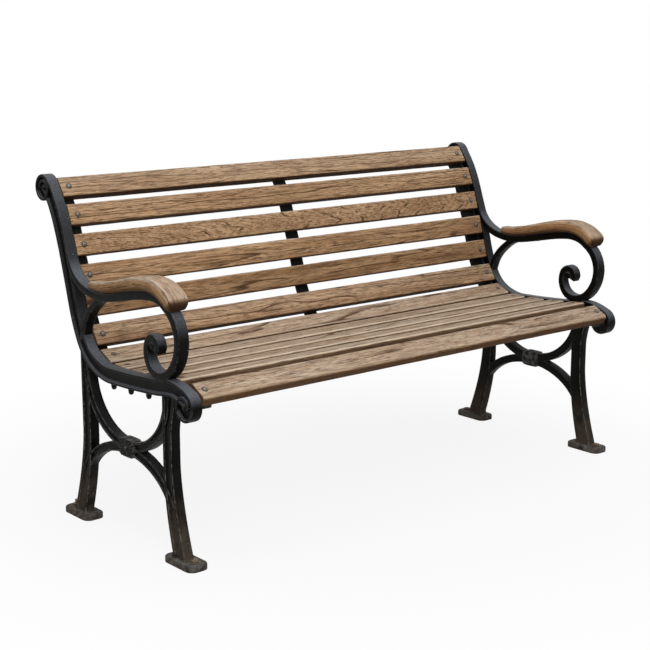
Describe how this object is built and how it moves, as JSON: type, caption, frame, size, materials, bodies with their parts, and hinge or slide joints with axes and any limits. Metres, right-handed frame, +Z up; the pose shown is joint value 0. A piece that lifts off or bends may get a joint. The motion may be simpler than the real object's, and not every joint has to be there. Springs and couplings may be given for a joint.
{
  "type": "park bench",
  "caption": "Park bench with scrolled cast iron end frames, a curved back and seat of timber slats, timber armrests and a flat iron strap behind the middle of the slats.",
  "frame": {"origin": "centre of the bench's bounding box at floor level", "axes": "+X along the slats, towards the end frame on a sitter's left; the sitter faces -Y; +Z up"},
  "size_m": [1.544, 0.686, 0.8801],
  "materials": {
    "painted_cast_iron": "black paint, satin, dusty on upward faces",
    "weathered_timber": "weathered hardwood with straight grain",
    "armrest_timber": "weathered hardwood, rounded and worn",
    "zinc_plated_steel": "dull zinc plating",
    "rusted_steel": "rusted plating"
  },
  "bodies": {
    "root": {"end_frame_left": "painted_cast_iron", "end_frame_right": "painted_cast_iron", "back_slat_01": "weathered_timber", "back_slat_02": "weathered_timber", "back_slat_03": "weathered_timber", "back_slat_04": "weathered_timber", "back_slat_05": "weathered_timber", "back_slat_06": "weathered_timber", "back_slat_07": "weathered_timber", "seat_slat_08": "weathered_timber", "seat_slat_09": "weathered_timber", "seat_slat_10": "weathered_timber", "seat_slat_11": "weathered_timber", "seat_slat_12": "weathered_timber", "armrest_left": "armrest_timber", "armrest_right": "armrest_timber", "centre_strap": "painted_cast_iron", "slat_bolt_left_01": "zinc_plated_steel", "slat_bolt_left_02": "zinc_plated_steel", "slat_bolt_left_03": "zinc_plated_steel", "slat_bolt_left_04": "zinc_plated_steel", "slat_bolt_left_05": "zinc_plated_steel", "slat_bolt_left_06": "zinc_plated_steel", "slat_bolt_left_07": "zinc_plated_steel", "slat_bolt_left_08": "zinc_plated_steel", "slat_bolt_left_09": "zinc_plated_steel", "slat_bolt_left_10": "zinc_plated_steel", "slat_bolt_left_11": "zinc_plated_steel", "slat_bolt_left_12": "zinc_plated_steel", "slat_bolt_right_01": "zinc_plated_steel", "slat_bolt_right_02": "zinc_plated_steel", "slat_bolt_right_03": "zinc_plated_steel", "slat_bolt_right_04": "zinc_plated_steel", "slat_bolt_right_05": "zinc_plated_steel", "slat_bolt_right_06": "zinc_plated_steel", "slat_bolt_right_07": "zinc_plated_steel", "slat_bolt_right_08": "zinc_plated_steel", "slat_bolt_right_09": "zinc_plated_steel", "slat_bolt_right_10": "zinc_plated_steel", "slat_bolt_right_11": "zinc_plated_steel", "slat_bolt_right_12": "zinc_plated_steel", "strap_screw_01": "zinc_plated_steel", "strap_screw_02": "zinc_plated_steel", "strap_screw_03": "zinc_plated_steel", "strap_screw_04": "zinc_plated_steel", "strap_screw_05": "zinc_plated_steel", "strap_screw_06": "zinc_plated_steel", "strap_screw_08": "zinc_plated_steel", "strap_screw_09": "zinc_plated_steel", "strap_screw_10": "zinc_plated_steel", "strap_screw_11": "zinc_plated_steel", "strap_screw_12": "zinc_plated_steel", "armrest_screw_left_rear": "zinc_plated_steel", "armrest_screw_left_front": "zinc_plated_steel", "armrest_screw_right_rear": "zinc_plated_steel", "armrest_screw_right_front": "zinc_plated_steel", "anchor_bolt_left_front": "rusted_steel", "anchor_bolt_left_rear": "rusted_steel", "anchor_bolt_right_front": "rusted_steel", "anchor_bolt_right_rear": "rusted_steel"}
  },
  "joints": []
}
